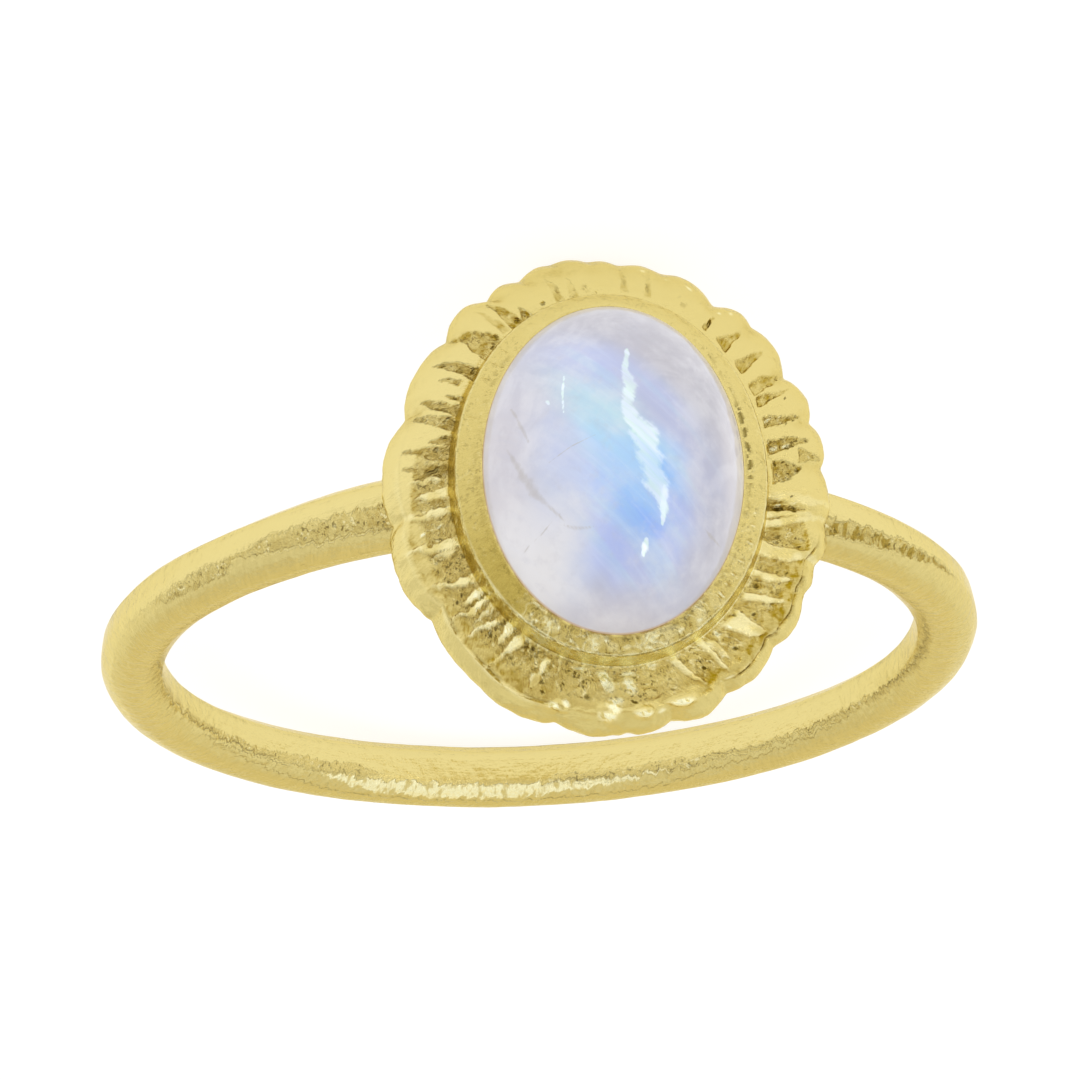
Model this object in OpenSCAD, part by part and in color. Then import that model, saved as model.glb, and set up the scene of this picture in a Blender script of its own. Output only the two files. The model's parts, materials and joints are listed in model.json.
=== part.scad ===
// Moonstone ring: an oval cabochon in a bezel, on a fluted and scalloped frame soldered to a round wire band.
// The ring lies on its side, as it rests by itself: the finger hole opens upwards and the stone faces -Y.

/* [Band] */
// Radius of the finger hole
hole_r = 8.65; // [8.3:0.05:9.2]
// Radius of the round wire that the band is bent from
wire_r = 0.72; // [0.69:0.01:0.76]
// How far outside the hole's wall the wire's centre runs: the rest of the wire is filed flat
wire_out = 0.68; // [0.64:0.01:0.7]

/* [Stone] */
// Width of the oval stone, across the finger
stone_w = 6; // [5.8:0.05:6.1]
// Length of the oval stone, along the finger
stone_l = 8; // [7.8:0.05:8.1]
// Height of the stone from its flat back to the top of the dome
stone_h = 3.2; // [2.6:0.1:3.6]
// Fullness of the dome: 2 is a plain ellipse, more is squarer
stone_full = 2.1; // [2:0.05:2.4]
// Gap between the stone and its cup
stone_gap = 0.03; // [0.02:0.01:0.05]
// Turn of the stone and its bezel about the dome's axis, in degrees
stone_turn = -3.9; // [-6:0.1:6]

/* [Bezel] */
// Distance from the middle of the finger hole to the cup's floor
floor_z = 10.12; // [10.1:0.01:10.2]
// Distance from the middle of the finger hole to the lip that holds the stone
lip_z = 11.3; // [11.2:0.02:11.4]
// Drop from the lip's inner edge to its outer edge
lip_drop = 0.26; // [0.1:0.02:0.4]
// Width of the lip at the ends of its short axis
lip_wide_w = 0.53; // [0.45:0.01:0.6]
// Width of the lip at the ends of its long axis
lip_wide_l = 0.37; // [0.3:0.01:0.45]

/* [Fluted frame] */
// Half the frame's width at the rim, before the scallops
rim_half_w = 4.84; // [4.7:0.02:5]
// Half the frame's length at the rim, before the scallops
rim_half_l = 5.48; // [5.3:0.02:5.6]
// Depth of the flutes against the chart below
flute_scale = 1; // [0:0.1:1.2]
// Steps around the frame
steps = 216; // [120:12:240]

/* [Rest] */
// Pitch of the lying ring: the band's back and the frame's edge both touch the floor
rest_pitch = 13.85; // [13:0.05:14.5]
// Lean of the lying ring, sideways, onto two of the frame's scallops
rest_lean = -1.65; // [-2:0.05:2]

/* [Hidden] */
// Yellow gold plate
gold = [0.88, 0.81, 0.47];
// Milky stone with a blue sheen
milk = [0.86, 0.87, 0.93];
// From the middle of the finger hole to the wire's centre
band_r = hole_r + wire_out;
// From the middle of the finger hole to the stone's flat back
cup_z = floor_z + stone_gap;
// How far the rim sits off the bezel, across and along the finger
rim_shift = [-0.1, 0.03];
// Roundness of the scallops: 1 is a sine wave, less is squarer
lobe_round = 0.6;
// A flute's width at the bezel against the chart's, and how much of it is lost out at the rim
flute_wide = 1.15;
flute_taper = 0.5;
// Shares of a flute's reach where it starts to run out and where it has gone
flute_fade = 0.8;
flute_end = 1.15;
// Facets round the band and round its wire
band_steps = 180;
wire_steps = 64;
// Heights of the cup's rings, as shares of the cup's height
CUP_STEPS = [0, 0.42, 0.76, 1];
// Where the dome's rings lie, in degrees up from its flat back
DOME_STEPS = [86, 80, 72, 62, 50, 36, 20, 0];

// The scalloped edge, charted by eye. Each row is a notch and the lobe that follows it:
// angle of the notch, its size, and the size of the lobe's crest, both against the plain oval.
SCALLOPS = [
    [8, 0.990, 1.024], [32, 0.983, 1.003], [52, 1.006, 1.024], [72.5, 0.984, 1.010], [91.5, 0.987, 0.997],
    [103.5, 0.962, 0.992], [120, 0.957, 0.978], [137.5, 0.950, 0.978], [154, 0.957, 0.970],
    [162, 0.958, 1.000], [172, 0.985, 1.000], [186.5, 0.983, 1.018], [198, 0.984, 1.019],
    [210.5, 0.976, 1.017], [225.5, 1.006, 1.011], [236.5, 0.972, 1.010], [252, 0.997, 1.003],
    [264, 0.984, 1.002], [272, 0.995, 1.012], [282, 1.003, 1.005], [291, 0.978, 0.989],
    [301.5, 0.973, 0.998], [317, 0.963, 0.983], [340.5, 0.966, 1.010]
];

// The gouged flutes between the ribs, charted by eye, one row each:
// angle at the bezel, angle at the foot, width in degrees, how far out it runs, and depth in mm.
FLUTES = [
    [6.5, 7, 3.2, 0.62, 0.16], [14, 13.5, 6, 0.75, 0.2], [23.5, 23, 7, 0.65, 0.2],
    [32.5, 33, 3.5, 0.7, 0.18], [42, 40, 4, 0.7, 0.18], [47.5, 46.2, 4, 0.72, 0.18],
    [56, 55.5, 4, 0.68, 0.18], [66.5, 66.5, 3.5, 0.8, 0.18], [71, 70.5, 3.5, 0.5, 0.14],
    [77, 77.5, 4, 0.55, 0.14], [87.5, 86.5, 10, 0.45, 0.2], [97, 92.5, 4, 0.6, 0.14],
    [104, 104.5, 2.5, 0.55, 0.12], [116.5, 113.5, 5, 0.56, 0.18], [126, 124.5, 6, 0.56, 0.2],
    [133.5, 134.5, 3, 0.3, 0.1], [139.5, 138, 4.5, 0.55, 0.2], [147, 149, 3.5, 0.5, 0.16],
    [153, 155, 3.5, 0.52, 0.16], [163, 164, 4.5, 0.65, 0.16], [172, 172.7, 3, 0.6, 0.2],
    [175.5, 175.5, 3, 0.45, 0.12], [183.5, 184.5, 5.5, 0.55, 0.18], [191.3, 191.8, 4.5, 0.74, 0.2],
    [198.3, 198.8, 4, 0.68, 0.18], [204.5, 206.3, 3, 0.7, 0.16], [208.5, 209.8, 4, 0.72, 0.2],
    [217, 217.8, 5, 0.7, 0.2], [225.3, 225.6, 4.5, 0.68, 0.2], [231.8, 233.3, 2.5, 0.5, 0.12],
    [284.3, 285, 2.5, 0.35, 0.08], [291, 293, 2.5, 0.35, 0.1], [297, 297.5, 3.5, 0.24, 0.14],
    [302, 303.8, 5.5, 0.7, 0.22], [313, 317.7, 8, 0.72, 0.22], [324.5, 326, 6, 0.7, 0.2],
    [329.5, 330, 2.5, 0.42, 0.1], [337.3, 338, 3, 0.68, 0.16], [342.3, 342.3, 4.5, 0.7, 0.2],
    [348, 347, 3.5, 0.5, 0.14], [351.5, 350.8, 3.5, 0.78, 0.18], [356, 356, 4.5, 0.8, 0.18]
];

// Sections of the frame, from the bezel's foot out over the rim and in under it:
// half width and half length against the rim's, height, way out (0 at the bezel, 1 at the rim).
FRAME = [
    [0.722, 0.776, 10.56, 0], [0.755, 0.808, 10.56, 0.14], [0.795, 0.844, 10.53, 0.3],
    [0.838, 0.880, 10.48, 0.46], [0.880, 0.912, 10.4, 0.62], [0.922, 0.943, 10.28, 0.78],
    [0.968, 0.974, 10.08, 0.92], [1, 1, 9.78, 1], [0.977, 0.979, 9.46, 1], [0.945, 0.95, 9.3, 1]
];

// Smooth blend from 0 to 1
function ease(t) = t * t * (3 - 2 * t);

// Share of the full oval that the stone still has at a height over its flat back
function dome_share(h) = pow(1 - pow(h / stone_h, stone_full), 1 / stone_full);

// Row of the scallops that holds an angle, counted from the first row
function lobe_of(a) = len([for (row = SCALLOPS) if (row[0] <= a) row]) - 1;

// Size of the scalloped edge at an angle between two notches
function lobe_size(a, from, to, size_a, size_b, crest) =
    let (s = (a - from) / (to - from))
    let (plain = size_a + (size_b - size_a) * s)
    plain + (crest - (size_a + size_b) / 2) * pow(sin(180 * s), lobe_round);

function scallop(angle) =
    let (first = SCALLOPS[0][0])
    let (a = angle < first ? angle + 360 : angle)
    let (i = lobe_of(a))
    let (row = SCALLOPS[i])
    let (last = i == len(SCALLOPS) - 1)
    let (next = last ? SCALLOPS[0] : SCALLOPS[i + 1])
    lobe_size(a, row[0], last ? first + 360 : next[0], row[1], next[1], row[2]);

// Depth of one flute at an angle and a way out
function flute(row, a, way) =
    let (middle = row[0] + (row[1] - row[0]) * way / row[3])
    let (off = abs(a - middle))
    let (half = row[2] / 2 * (flute_wide - flute_taper * way))
    let (near = min(off, 360 - off) / half)
    let (along = way / row[3])
    near >= 1 || along >= flute_end ? 0
        : row[4] * ease(1 - near) * (along < flute_fade ? 1 : ease((flute_end - along) / (flute_end - flute_fade)));

function flutes(a, way) = flute_scale * max([for (row = FLUTES) flute(row, a, way)]);

// A point of an oval, turned about the dome's axis and shifted
function on_oval(half_w, half_l, z, a, turn, shift) = [
    half_w * cos(a) * cos(turn) - half_l * sin(a) * sin(turn) + shift[0],
    half_w * cos(a) * sin(turn) + half_l * sin(a) * cos(turn) + shift[1],
    z
];

function angles() = [for (i = [0 : steps - 1]) 360 * i / steps];

// Ring of points on a plain oval of the bezel
function bezel_ring(half_w, half_l, z) =
    [for (a = angles()) on_oval(half_w, half_l, z, a, stone_turn, [0, 0])];

// Ring of points of the frame: the scallops grow and the turn fades on the way out
function frame_ring(section) =
    let (way = section[3])
    [for (a = angles())
        let (size = 1 + (scallop(a) - 1) * ease(way))
        on_oval(rim_half_w * section[0] * size, rim_half_l * section[1] * size,
            section[2] - flutes(a, way), a, stone_turn * (1 - way), rim_shift * way)];

// Ring of points of the cup that follows the stone's side
function cup_ring(z) =
    let (share = dome_share(max(0, z - cup_z)))
    bezel_ring(stone_w / 2 * share + stone_gap, stone_l / 2 * share + stone_gap, z);

// Closed solid through a stack of rings: the first is the cap that faces +Z, the last the one that faces -Z
module ring_stack(rings) {
    n = len(rings[0]);
    last = len(rings) - 1;
    sides = [for (k = [0 : last - 1], i = [0 : n - 1])
        let (j = (i + 1) % n)
        each [[k * n + i, k * n + j, (k + 1) * n + i], [k * n + j, (k + 1) * n + j, (k + 1) * n + i]]];
    first_cap = [for (i = [n - 1 : -1 : 0]) i];
    last_cap = [for (i = [0 : n - 1]) last * n + i];
    points = [for (ring = rings) each ring];
    polyhedron(points, concat([first_cap], sides, [last_cap]), convexity = 6);
}

// The head: cup, lip, bezel wall, fluted frame and flat underside in one skin
module head() {
    share = dome_share(lip_z - cup_z);
    lip_w = stone_w / 2 * share + stone_gap;
    lip_l = stone_l / 2 * share + stone_gap;
    wall_w = lip_w + lip_wide_w;
    wall_l = lip_l + lip_wide_l;
    cup = [for (share_up = CUP_STEPS) cup_ring(floor_z + (lip_z - floor_z) * share_up)];
    wall = [bezel_ring(wall_w, wall_l, lip_z - lip_drop)];
    ring_stack(concat(cup, wall, [for (section = FRAME) frame_ring(section)]));
}

// The band: a round wire bent to a full circle, with its inside filed to the finger
module band() {
    rotate_extrude($fn = band_steps)
    intersection() {
        translate([band_r, 0]) circle(r = wire_r, $fn = wire_steps);
        translate([hole_r, -wire_r]) square([2 * wire_r, 2 * wire_r]);
    }
}

// Lays the ring down: it is drawn with the finger along Z, then tipped until it touches the floor
module lying() {
    tilt = acos(cos(rest_pitch) * cos(rest_lean));
    rise = band_r * sin(tilt) + wire_r;
    back = (floor_z + stone_h - band_r - wire_r) / 2 * cos(rest_pitch);
    translate([0, back, rise]) rotate([-rest_pitch, rest_lean, 0]) children();
}

module ring_mount() {
    color(gold) lying() {
        band();
        rotate([90, 0, 0]) head();
    }
}

module moonstone() {
    heights = [for (t = DOME_STEPS) stone_h * sin(t)];
    rings = [for (h = heights) bezel_ring(stone_w / 2 * dome_share(h), stone_l / 2 * dome_share(h), cup_z + h)];
    color(milk) lying() rotate([90, 0, 0]) ring_stack(rings);
}

ring_mount();
moonstone();
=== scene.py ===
import json
import math

import bmesh
import bpy
import numpy as np
from mathutils import Matrix, Vector, noise


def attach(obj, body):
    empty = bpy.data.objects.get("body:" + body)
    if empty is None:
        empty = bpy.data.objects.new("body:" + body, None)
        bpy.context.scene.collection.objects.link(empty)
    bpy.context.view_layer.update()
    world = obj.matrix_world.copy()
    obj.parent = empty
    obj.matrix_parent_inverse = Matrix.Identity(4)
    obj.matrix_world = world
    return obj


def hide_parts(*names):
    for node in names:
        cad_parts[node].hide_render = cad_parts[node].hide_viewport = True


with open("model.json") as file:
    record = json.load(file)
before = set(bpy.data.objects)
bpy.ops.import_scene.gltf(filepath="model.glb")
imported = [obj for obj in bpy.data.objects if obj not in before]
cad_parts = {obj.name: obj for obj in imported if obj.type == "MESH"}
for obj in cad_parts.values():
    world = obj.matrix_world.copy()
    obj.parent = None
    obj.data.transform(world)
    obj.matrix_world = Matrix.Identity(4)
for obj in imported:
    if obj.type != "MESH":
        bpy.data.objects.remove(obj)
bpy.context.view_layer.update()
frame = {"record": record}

# The mount: the round wire band, the fluted and scalloped frame and the bezel with its cup.
# It is silver, cast and soldered in one and plated with pale yellow gold, so it is one closed skin here.
# The band's inside is filed to the finger. The frame's flutes are gouged by hand and left as they were cut.

# Millimetres as the jeweller would draw the ring: x across the finger, u along it, r out through the stone,
# from the middle of the finger hole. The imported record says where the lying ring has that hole.
hole = frame["record"]["mounts"][0]
along_finger = Vector(hole["axis"]).normalized()
across_finger = Vector((along_finger.z, 0, -along_finger.x)).normalized()
through_stone = across_finger.cross(along_finger)
ring_turn = Matrix((across_finger, along_finger, through_stone)).transposed().to_4x4()
ring_place = Matrix.Translation(hole["pos_m"]) @ ring_turn @ Matrix.Scale(0.001, 4)

# The stone, with how full its dome is, its gap in the cup and its turn in degrees
stone_half_w, stone_half_l, stone_h, stone_full = 3.0, 4.0, 3.2, 2.1
stone_gap, stone_turn, cup_floor, lip_top = 0.03, -3.9, 10.12, 11.3
stone_back = cup_floor + stone_gap
# The bezel's lip: how far it falls outward, and how wide it is along the two axes of the oval
lip_drop, lip_wide_w, lip_wide_l = 0.26, 0.53, 0.37
# The rim, with its shift against the bezel and the roundness of its scallops, and the head's flat underside
rim_half_w, rim_half_l, rim_shift, lobe_round = 4.84, 5.48, (-0.1, 0.03), 0.6
underside = 9.3
# The head's mesh, its size in the UV map, the angle of a sharp edge and the distance of points to merge
head_columns = 960
head_girth, section_run = 32.4, 4.6
sharp_from = math.radians(50)
same_point = 0.0001

# Angle of the notch, size there and size at the crest of the lobe that follows, against the plain oval
SCALLOPS = np.array([
    [8, 0.985, 1.024], [32, 0.970, 1.003], [52, 1.006, 1.024], [72.5, 0.984, 1.010], [91.5, 0.987, 0.997],
    [103.5, 0.962, 0.992], [120, 0.957, 0.978], [137.5, 0.950, 0.978], [154, 0.957, 0.970],
    [162, 0.958, 1.000], [172, 0.985, 1.000], [186.5, 0.983, 1.018], [198, 0.984, 1.019],
    [210.5, 0.970, 1.017], [225.5, 1.010, 1.011], [236.5, 0.966, 1.010], [252, 0.997, 1.003],
    [264, 0.984, 1.002], [272, 0.995, 1.012], [282, 1.003, 1.005], [291, 0.973, 0.989],
    [301.5, 0.966, 0.998], [317, 0.955, 0.983], [340.5, 0.960, 1.010],
])

# Gouged flutes, each a wedge with its broad end at the bezel: from and to angle there, angle of the tip,
# start and end on the way out, depth, place of its deepest line between its sides (0 to 1), roughness
FLUTES = np.array([
    [165.6, 167.6, 166.5, 0, .7, .12, .5, 1], [174, 175.5, 174.8, 0, .62, .2, .5, 1.3],
    [176, 177.6, 176.5, 0, .3, .1, .5, 1], [182.5, 189.2, 185.7, .14, .62, .15, .15, 1.2],
    [187.6, 190.8, 188, .6, .93, .05, .3, 1], [191.6, 195.6, 192.6, .13, .78, .19, .2, 1.2],
    [199.4, 202.2, 198.9, .13, .78, .18, .2, 1], [206.1, 208.7, 206.7, .17, .77, .17, .15, .3],
    [209.4, 213.8, 210.7, .17, .8, .18, .15, .2], [217.2, 221.6, 218.3, .18, .72, .18, .15, .2],
    [225.9, 230.2, 225.7, .18, .66, .18, .15, .15], [234.7, 235.9, 234.4, .2, .5, .1, .5, .2],
    [255.4, 257.6, 256.5, .2, .8, .022, .5, .2], [263.2, 265.8, 264.5, .2, .75, .024, .5, .2],
    [280.6, 283.8, 282, .1, .5, .022, .5, .3], [285.8, 289.4, 287.5, .1, .6, .024, .5, .3],
    [298.8, 302.4, 300.5, .03, .3, .09, .5, 1], [302.8, 307.2, 305, 0, .74, .21, .85, .3],
    [308, 310.8, 309, .05, .78, .05, .5, 0], [312.3, 321.2, 317.3, 0, .93, .26, .85, .5],
    [325, 329.7, 327.5, 0, .78, .17, .8, 1], [331.4, 333, 332, .22, .52, .07, .5, 1],
    [336.4, 337.7, 337, 0, .32, .09, .5, 1], [339.4, 342.4, 338.3, 0, .8, .19, .75, 1],
    [343.4, 347.5, 342.5, 0, .8, .19, .75, 1.1], [349, 352, 350.5, 0, .38, .15, .7, 1],
    [352.4, 356.4, 351.5, 0, .8, .19, .75, 1.1], [357.8, 361.6, 356.5, .03, .8, .17, .75, 1],
])

# Ribs left standing in the cut bed of the lower half: angle at the bezel, a third of the way and at three
# quarters, width in degrees, where it starts and ends on the way out, how much of the bed's depth it keeps
RIBS = np.array([
    [1.5, .8, 0, 1.8, 0, .7, .8], [6.3, 5.3, 4.5, 2.8, 0, .68, 1], [12.6, 10.8, 8.9, 2.4, 0, .95, 1],
    [22.3, 20.2, 17, 2.8, 0, .9, 1], [24, 22.5, 19.5, 1.8, .15, .6, .8], [34.5, 31.3, 27, 2.8, 0, .8, 1],
    [38.7, 37.2, 35, 2.6, 0, .45, 1], [42.8, 40.2, 36.6, 1.8, 0, .8, 1], [45.5, 43.5, 41.5, 1.6, 0, .5, .7],
    [49.8, 46.6, 42.4, 2, 0, .8, 1], [53.7, 52.2, 49.5, 2.6, 0, .45, 1], [58.7, 55.7, 51.7, 2.2, 0, .85, 1],
    [62, 60, 57.5, 1.4, 0, .4, .7], [70, 66.8, 63.6, 2, .1, .78, 1], [74, 71.5, 69, 1.2, 0, .4, .6],
    [82, 80, 78, 1.6, .05, .4, .5], [88, 87.7, 87, 3.2, .1, .4, .7],
    [113.2, 114.3, 116.3, 2.2, .06, .7, 1], [124.6, 124.4, 124, 2, .05, .74, 1],
    [127, 126.8, 126.4, 2.2, .15, .52, .9], [137.2, 137.6, 138.3, 5.2, .12, .78, 1],
    [133.4, 136, 138, 1.6, .12, .6, 1], [145.2, 147.6, 149.4, 2.2, .08, .76, 1],
    [153.6, 154, 155.6, 2, .03, .76, 1], [162.2, 161.2, 162.2, 3.4, 0, 1.1, 1],
    [169.8, 171, 172.6, 1.8, 0, 1.1, 1], [172.7, 172.8, 173.5, 1.4, 0, 1.1, 1],
    [178.6, 178, 177.5, 2.8, 0, 1.1, 1],
])

# Spots on the frame: angle, way out, half width in degrees, half width on the way out, then
# the height of a mound, or how dark the painted shade in a pit of the casting is,
# or how bright a painted highlight is
MOUNDS = (
    (97, .77, 3.6, .13, .09), (107.7, .77, 5, .12, .09), (87, .75, 3.8, .15, .08),
    (73, .84, 3, .09, .07), (88.5, .28, 2.6, .14, .07), (101, .5, 3, .16, .05), (120, .82, 5, .07, .03),
    (80, .5, 3, .14, .05),
)
PITS = (
    (18, .07, 2.2, .08, .5), (27.5, .06, 1.3, .07, .7), (34.7, .4, .5, .05, 1), (34.9, .54, .6, .05, 1),
    (34.7, .69, .5, .04, 1), (41.5, .4, .6, .04, 1), (42.8, .37, .4, .03, 1), (48.3, .41, .9, .05, 1),
    (57.7, .51, 1.7, .06, 1), (59.5, .3, .4, .03, 1), (66.4, .6, .7, .05, 1), (67.9, .73, .9, .05, 1),
    (73.8, .44, .5, .05, 1), (69.3, .11, .4, .03, 1), (81, .56, 1.2, .06, .6), (62, .07, 3, .06, .45),
    (91, .14, 4, .12, .4), (95, .6, .9, .05, 1), (107, .55, 1.2, .07, .6), (120, .3, .4, .05, .8),
    (119.3, .43, .6, .05, 1), (122.4, .06, .4, .04, 1), (130.3, .5, .7, .05, 1),
    (132.6, .37, .6, .04, 1), (131, .13, 1, .04, .8), (138.3, .1, .5, .04, .9),
    (140.8, .14, .5, .12, .9), (142.3, .38, .7, .04, 1), (149.8, .15, .8, .08, .8),
    (155, .34, .4, .04, 1), (156.9, .6, .6, .04, 1), (164.2, .4, .4, .08, .8), (164.2, .6, .4, .06, 1),
    (165, .26, .4, .05, .8), (166.9, .24, .4, .09, .9), (174.3, .3, .9, .33, .9),
    (178, .37, .5, .06, .7), (183, .3, .8, .14, .6), (185.4, .54, .7, .08, .8),
    (188.6, .3, .4, .14, .6), (188.6, .82, 1.1, .05, .7), (191.9, .45, .6, .16, .7),
    (198.6, .6, .5, .13, .8), (204.6, .6, .4, .05, .8), (206.4, .5, .3, .24, .5),
    (210.4, .74, .3, .07, .8), (217.4, .35, .3, .2, .4), (234.9, .34, .4, .13, .6),
    (245, .38, 2, .12, .25), (256.5, .35, .8, .12, .3), (264.5, .4, 1, .12, .25), (277, .2, 2, .1, .3),
    (286.5, .3, 1, .15, .3), (273.5, .11, 1.2, .03, .4), (293, .13, 1.4, .06, .6),
    (305.5, .6, .8, .14, .5), (300.6, .14, 1.2, .1, .4), (303.6, .1, .9, .08, .5),
    (313.4, .12, 1.3, .08, .8), (316, .06, 1.6, .04, .7), (315, .32, .8, .06, .4),
    (326.6, .12, 1.6, .12, .7), (328, .3, 1, .12, .5), (327.3, .66, .5, .1, .5),
    (331.6, .38, .7, .05, .6), (337, .16, .5, .1, .6), (340.5, .35, .6, .2, .6),
    (344.4, .16, .9, .14, .9), (343, .6, .6, .14, .5), (349.6, .16, .6, .12, .7),
    (352.8, .2, .9, .18, .7), (351.6, .66, .5, .1, .5), (358.2, .3, 1.1, .2, .7),
)
PAINTED_HIGHLIGHTS = (
    (9, .32, .6, .12, .5), (14.8, .3, .6, .1, .9), (14.5, .6, .6, .08, .9), (38.4, .1, 1, .13, 1),
    (40, .1, 1.2, .12, .9), (45, .18, 1.2, .06, .9), (50.5, .5, .8, .03, .5), (53.7, .05, 1.9, .07, 1),
    (52.5, .17, .7, .05, .7), (64, .15, .6, .05, .9), (71, .2, .5, .04, .9), (71.5, .86, 2.4, .05, 1),
    (74.8, .77, 1.6, .07, 1), (86.3, .81, 3.6, .1, 1), (88.8, .66, 3, .18, 1), (88.4, .27, 3.2, .24, 1),
    (91, .58, 1.8, .09, .9), (95.5, .32, 2.6, .2, 1), (99.8, .33, 2.2, .04, .8),
    (100.5, .05, 1.6, .03, .8), (96.3, .8, 3.3, .09, 1), (101.2, .85, 1.6, .04, .8),
    (107.5, .79, 4.8, .08, 1), (122, .85, 3, .025, .7), (130.6, .12, 1.7, .1, .9),
    (134.5, .19, .6, .05, .6), (150, .03, 1.4, .03, .6), (175.6, .16, .5, .08, .9),
    (193, .2, 1.1, .1, 1), (192.6, .4, .6, .1, .9), (201.2, .22, .7, .12, 1), (231.3, .83, .8, .04, .6),
    (88, .13, 3.4, .1, .9), (96, .1, 5, .05, .9), (80, .08, 4, .04, .8), (105, .05, 4, .04, .8),
    (114, .04, 4, .03, .7), (60, .02, 3, .03, .7), (233.9, .7, .9, .04, .6),
    (244.4, .77, 1.3, .035, .7), (250.6, .75, 1.2, .03, .6), (258, .78, 1.8, .05, .6),
)
# Painted highlights on the bezel's lip, each with a small bump:
# angle, way over the lip, half width in degrees and over the lip, share
LIP_HIGHLIGHT_SPOTS = (
    (57.6, .55, 1, .2, 1), (60.5, .7, .7, .12, .7), (64.5, .5, 1.2, .2, 1), (68.3, .4, .8, .15, .7),
    (74.6, .7, 1, .12, 1), (78.5, .35, 1.2, .15, .7), (83.6, .55, 2, .12, .8), (87.5, .3, 1.4, .12, .7),
    (96, .6, 2.4, .14, .6), (104, .75, 2, .1, .6), (110, .4, 2, .12, .6), (118, .6, 2.2, .12, .7),
    (126, .7, 1.6, .1, .5), (136.8, .6, .4, .22, .8), (138.3, .6, .6, .25, 1), (142.3, .6, .6, .22, 1),
    (146.4, .6, .5, .22, .9), (151.6, .58, .5, .2, .8), (158.8, .6, .5, .22, 1),
    (164.6, .6, .4, .2, .7), (169, .6, .4, .18, .6),
)

# The frame's section from the bezel's foot over the rim to its edge below:
# half width and half length against the rim's, height, way out (0 at the bezel, 1 at the rim)
FRAME = np.array([
    [0.722, 0.776, 10.56, 0], [0.755, 0.808, 10.56, 0.14], [0.795, 0.844, 10.53, 0.3],
    [0.838, 0.880, 10.48, 0.46], [0.880, 0.912, 10.4, 0.62], [0.922, 0.943, 10.28, 0.78],
    [0.968, 0.974, 10.08, 0.92], [1, 1, 9.78, 1], [0.977, 0.979, 9.46, 1], [0.945, 0.95, 9.3, 1],
])


def ease(t):
    t = np.clip(t, 0, 1)
    return t * t * (3 - 2 * t)


def hump(x, middle, half):
    """1 at the middle, falling smoothly to 0 at half a width away."""
    return ease(1 - np.abs(x - middle) / half)


def turn_off(a, middle):
    """Degrees between two angles, from -180 to 180."""
    return (a - middle + 180) % 360 - 180


def dome_share(h):
    """Share of the full oval that the stone still has at a height over its flat back."""
    return (1 - (np.clip(h, 0, stone_h) / stone_h) ** stone_full) ** (1 / stone_full)


def smooth_rows(table, count):
    """Points of a smooth curve through the rows of a table."""
    at = np.linspace(0, len(table) - 1, count)
    i = np.clip(at.astype(int), 0, len(table) - 2)
    t = (at - i)[:, None]
    before, here = table[np.maximum(i - 1, 0)], table[i]
    there, after = table[i + 1], table[np.minimum(i + 2, len(table) - 1)]
    bend = 3 * (here - there) + after - before
    return here + t / 2 * (there - before + t * (2 * before - 5 * here + 4 * there - after + t * bend))


def soften(ring, degrees):
    """Blurs values charted round a full turn by a number of degrees."""
    spread = np.exp(-(turn_off(np.arange(len(ring)) * 360 / len(ring), 0) / degrees) ** 2)
    return np.real(np.fft.ifft(np.fft.fft(ring) * np.fft.fft(spread / spread.sum())))


def lobe_parts(a):
    """The scalloped edge at an angle: its size, and how far up the lobe's crest it is."""
    notches, notch_size, crest_size = SCALLOPS.T
    a = np.where(a < notches[0], a + 360, a)
    here = np.searchsorted(notches, a, side="right") - 1
    after = (here + 1) % len(notches)
    end = np.where(after == 0, notches[after] + 360, notches[after])
    s = (a - notches[here]) / (end - notches[here])
    crest = np.sin(np.pi * s) ** lobe_round
    plain = notch_size[here] + (notch_size[after] - notch_size[here]) * s
    return plain + (crest_size[here] - (notch_size[here] + notch_size[after]) / 2) * crest, crest


def flute_cut(a, way):
    """Depth of the gouged flutes over the frame, and how rough each point is inside them."""
    cut = np.zeros(np.broadcast(a, way).shape)
    inside = np.zeros(cut.shape)
    for first, last, tip, start, end, deep, deepest, rough_here in FLUTES:
        out = np.clip((way - start) / (end - start), 0, 1) ** 1.25
        middle = (first + last) / 2
        left = turn_off(first, middle) * (1 - out) + (tip - middle) * out - 0.25
        right = turn_off(last, middle) * (1 - out) + (tip - middle) * out + 0.25
        s = (turn_off(a, middle) - left) / (right - left)
        near = np.clip(2.4 * np.minimum(s / deepest, (1 - s) / (1 - deepest)), 0, 1)
        here = near * (1 - 0.75 * out) * ease((way - start) / 0.05 + 1) * ease((end + 0.04 - way) / 0.08)
        cut = np.maximum(cut, 0.5 * deep * here)
        inside = np.maximum(inside, rough_here * ease(6 * here))
    return cut, inside


def spots(table, a, way):
    """The strongest of a table of soft spots at each point, by the last column."""
    best = np.zeros(np.broadcast(a, way).shape)
    for angle, out, half_a, half_out, share in table:
        away = np.hypot(turn_off(a, angle) / half_a, (way - out) / half_out)
        best = np.maximum(best, share * ease(1.6 - 1.6 * away))
    return best


def rib_share(a, way):
    """How much of the old surface a rib keeps: 1 on its flat top, 0 beside it."""
    kept = np.zeros(np.broadcast(a, way).shape)
    for a_bezel, a_third, a_far, width, start, end, share in RIBS:
        a_rim = a_far + 0.6 * (a_far - a_third)
        middle = np.interp(way, [0, 0.35, 0.75, 1.1], [a_bezel, a_third, a_far, a_rim])
        taper = np.clip((way - start) / (end - start), 0, 1)
        half = width / 2 * (1.3 - 1.0 * taper ** 1.5)
        near = ease((half + 0.25 - np.abs(turn_off(a, middle))) / 0.6)
        reach = ease((way - start) / 0.08 + 1) * ease((end + 0.08 - way) / 0.18)
        kept = np.maximum(kept, share * near * reach)
    return kept


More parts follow.
